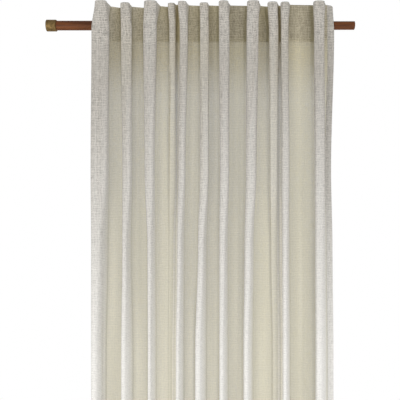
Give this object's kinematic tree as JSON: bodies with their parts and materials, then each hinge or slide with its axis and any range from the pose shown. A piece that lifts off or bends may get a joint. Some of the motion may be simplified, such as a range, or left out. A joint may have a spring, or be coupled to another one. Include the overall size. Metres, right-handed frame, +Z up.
{
  "type": "sheer voile curtain and curtain rod",
  "caption": "Sheer voile curtain gathered in uneven folds, hung by hidden back tabs on a telescopic wood-look rod with a brass end cap.",
  "frame": {"origin": "on the rod's axis, halfway along the gathered heading", "axes": "+X along the rod to the right as seen from the room, -Y towards the room, +Z up"},
  "size_m": [0.9175, 0.0826, 2.503],
  "materials": {
    "voile": "sheer plain-woven voile with fine slubs, matte, natural off-white",
    "tape_cloth": "close-woven heading tape, matte",
    "walnut": "red-brown wood-look surface on steel tube, satin",
    "brass": "aged brass, satin"
  },
  "bodies": {
    "root": {"panel": "voile", "heading_tape": "tape_cloth", "tab_01": "tape_cloth", "tab_02": "tape_cloth", "tab_03": "tape_cloth", "tab_04": "tape_cloth", "tab_05": "tape_cloth", "tab_06": "tape_cloth", "tab_07": "tape_cloth", "tab_08": "tape_cloth", "tab_09": "tape_cloth", "tab_10": "tape_cloth", "tab_11": "tape_cloth", "tab_12": "tape_cloth", "rod_outer": "walnut", "rod_inner": "walnut", "end_cap": "brass"}
  },
  "joints": []
}
